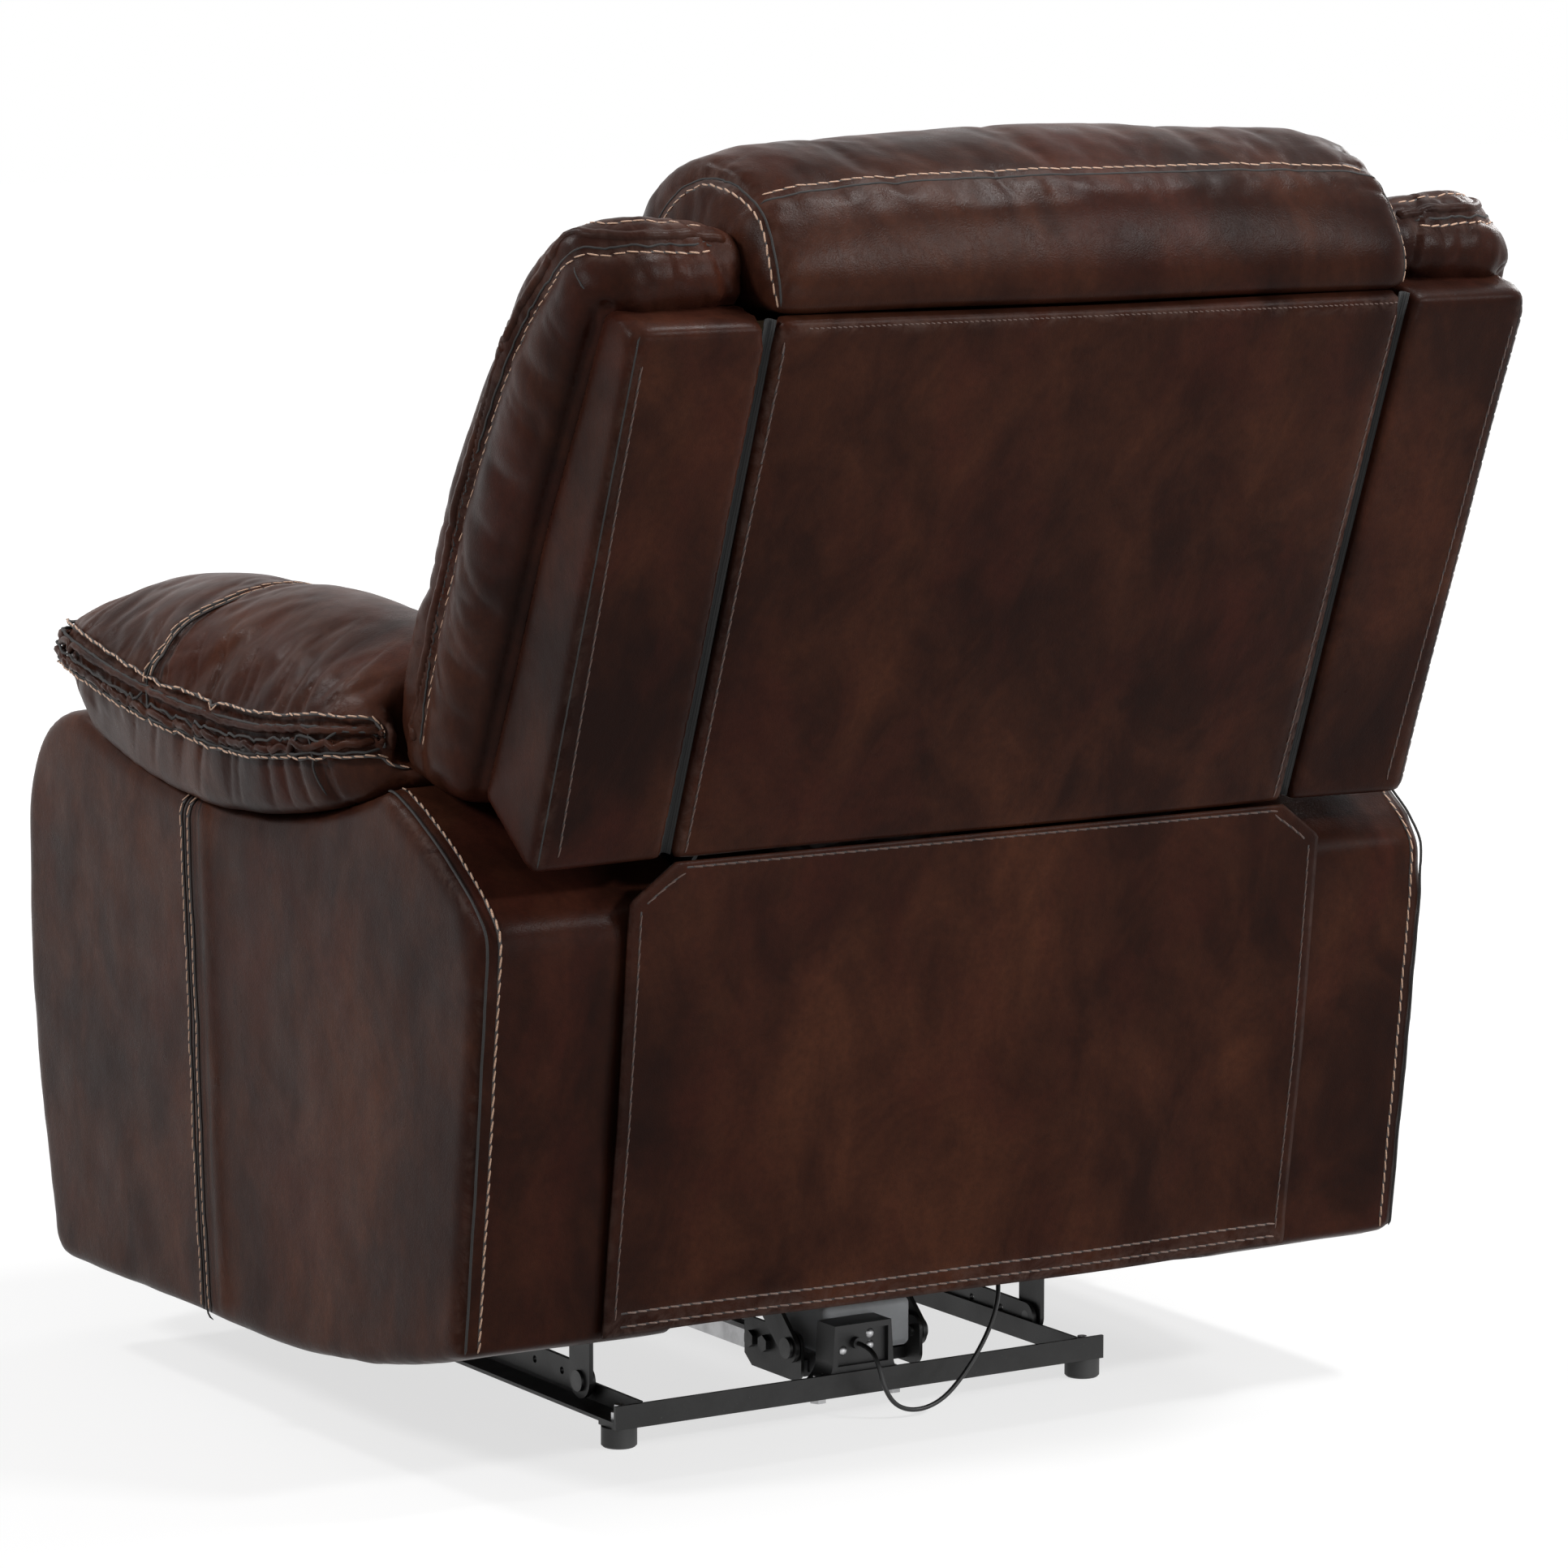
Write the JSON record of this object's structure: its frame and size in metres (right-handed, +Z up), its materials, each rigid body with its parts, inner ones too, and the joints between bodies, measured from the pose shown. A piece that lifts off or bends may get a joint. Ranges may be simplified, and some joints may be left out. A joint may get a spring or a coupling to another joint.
{
  "type": "lift recliner chair",
  "caption": "Padded leather armchair on a low steel base whose linkage raises and tips the seat; the back reclines and a scissor-linked footrest folds out.",
  "frame": {"origin": "middle of the footprint's bounding box, on the floor under the glides", "axes": "+Z up, +Y to the rear of the chair, the sitter faces -Y, +X to the sitter's left"},
  "size_m": [0.948, 1.0313, 1.0843],
  "materials": {
    "leather": "satin, lightly scuffed",
    "black_paint": "satin black powder coat",
    "zinc_steel": "zinc plated",
    "spring_wire": "drawn wire",
    "glide_plastic": "moulded",
    "black_plastic": "moulded",
    "housing_plastic": "moulded",
    "cable_jacket": "smooth jacket",
    "timber": "sawn pine and ply",
    "button_plastic": "moulded"
  },
  "bodies": {
    "base": {"base_rail_left": "black_paint", "base_rail_right": "black_paint", "base_rail_rear": "black_paint", "base_rail_front": "black_paint", "glide_feet": "glide_plastic", "glide_studs": "zinc_steel", "base_pivot_pins": "zinc_steel", "actuator_bracket": "black_plastic", "bracket_screws": "zinc_steel", "rail_bolts": "zinc_steel", "motor_housing": "housing_plastic", "drive_track": "zinc_steel", "lead_screw": "zinc_steel", "track_bracket": "black_paint", "control_box": "black_plastic", "motor_cable": "cable_jacket"},
    "slider": {"slider_block": "black_plastic", "yoke_plates": "black_paint", "yoke_bolts": "zinc_steel"},
    "drive_arm": {"drive_arms": "black_paint"},
    "lift_link": {"lift_link_left": "black_paint", "lift_link_right": "black_paint", "torque_tube": "black_paint"},
    "front_link": {"front_links": "black_paint"},
    "seat": {"seat_plate_left": "black_paint", "seat_plate_right": "black_paint", "seat_pins": "zinc_steel", "seat_rail_left": "timber", "seat_rail_right": "timber", "seat_cross_rails": "timber", "seat_springs": "spring_wire", "seat_cushion": "leather", "hinge_plates": "black_paint", "arm_left": "leather", "arm_right": "leather", "arm_pad_left": "leather", "arm_pad_right": "leather", "rear_flap": "leather", "switch_plate": "black_plastic"},
    "back": {"wing_left": "leather", "wing_right": "leather", "back_panel": "leather", "back_posts": "timber", "back_rails": "timber", "back_brackets": "black_paint", "bolster_left": "leather", "bolster_right": "leather", "lumbar_cushion": "leather", "upper_cushion": "leather", "headrest": "leather"},
    "swing": {"swing_plates": "black_paint"},
    "bar_a": {"footrest_bar_a": "black_paint"},
    "bar_b": {"footrest_bar_b": "black_paint"},
    "bar_c": {"footrest_bar_c": "black_paint"},
    "bar_d": {"footrest_bar_d": "black_paint"},
    "footrest": {"footrest_brackets": "black_paint", "footrest_board": "timber", "footrest_pad": "leather"},
    "button_up": {"button_up": "button_plastic"},
    "button_down": {"button_down": "button_plastic"}
  },
  "joints": [
    {"name": "lift", "type": "hinge", "parent": "base", "child": "lift_link", "pos_m": [0, -0.325, 0.044], "axis": [1, 0, 0], "range_deg": [0, 38]},
    {"name": "seat_tilt", "type": "hinge", "parent": "lift_link", "child": "seat", "pos_m": [0, 0.09, 0.04], "axis": [-1, 0, 0], "range_deg": [0, 10.6]},
    {"name": "front_link", "type": "hinge", "parent": "base", "child": "front_link", "pos_m": [0, -0.355, 0.058], "axis": [1, 0, 0], "range_deg": [0, 45.3]},
    {"name": "slider", "type": "slide", "parent": "base", "child": "slider", "axis": [0, -1, 0], "range_m": [0, 0.0555]},
    {"name": "drive_arm", "type": "hinge", "parent": "slider", "child": "drive_arm", "pos_m": [0, 0.118, 0.05], "axis": [-1, 0, 0], "range_deg": [0, 1.25]},
    {"name": "recline", "type": "hinge", "parent": "seat", "child": "back", "pos_m": [0, 0.21, 0.45], "axis": [-1, 0, 0], "range_deg": [0, 28], "deforming": ["rear_flap"]},
    {"name": "footrest_swing", "type": "hinge", "parent": "seat", "child": "swing", "pos_m": [0, -0.362, 0.296], "axis": [-1, 0, 0], "range_deg": [0, 25]},
    {"name": "footrest", "type": "hinge", "parent": "swing", "child": "bar_a", "pos_m": [0, -0.362, 0.296], "axis": [-1, 0, 0], "range_deg": [0, 45]},
    {"name": "footrest_bar_b", "type": "hinge", "parent": "bar_a", "child": "bar_b", "pos_m": [0, -0.38529, 0.20907], "axis": [1, 0, 0], "range_deg": [0, 90]},
    {"name": "footrest_bar_c", "type": "hinge", "parent": "bar_a", "child": "bar_c", "pos_m": [0, -0.40859, 0.12213], "axis": [1, 0, 0], "range_deg": [0, 90]},
    {"name": "footrest_bar_d", "type": "hinge", "parent": "bar_b", "child": "bar_d", "pos_m": [0, -0.40859, 0.296], "axis": [-1, 0, 0], "range_deg": [0, 90]},
    {"name": "footrest_board", "type": "hinge", "parent": "bar_c", "child": "footrest", "pos_m": [0, -0.45517, 0.296], "axis": [-1, 0, 0], "range_deg": [0, 110]},
    {"name": "button_up", "type": "slide", "parent": "seat", "child": "button_up", "axis": [1, 0, 0], "range_m": [0, 0.0025], "stiffness_N_per_m": 600},
    {"name": "button_down", "type": "slide", "parent": "seat", "child": "button_down", "axis": [1, 0, 0], "range_m": [0, 0.0025], "stiffness_N_per_m": 600}
  ],
  "couplings": [
    {"joint": "seat_tilt", "follows": "lift", "ratio": 0.276},
    {"joint": "front_link", "follows": "lift", "ratio": 1.19},
    {"joint": "slider", "follows": "lift", "m_per_rad": 0.083496},
    {"joint": "drive_arm", "follows": "lift", "ratio": 0.031616},
    {"joint": "footrest_swing", "follows": "footrest", "ratio": 0.55556},
    {"joint": "footrest_bar_b", "follows": "footrest", "ratio": 2},
    {"joint": "footrest_bar_c", "follows": "footrest", "ratio": 2},
    {"joint": "footrest_bar_d", "follows": "footrest", "ratio": 2},
    {"joint": "footrest_board", "follows": "footrest", "ratio": 2.4444}
  ]
}
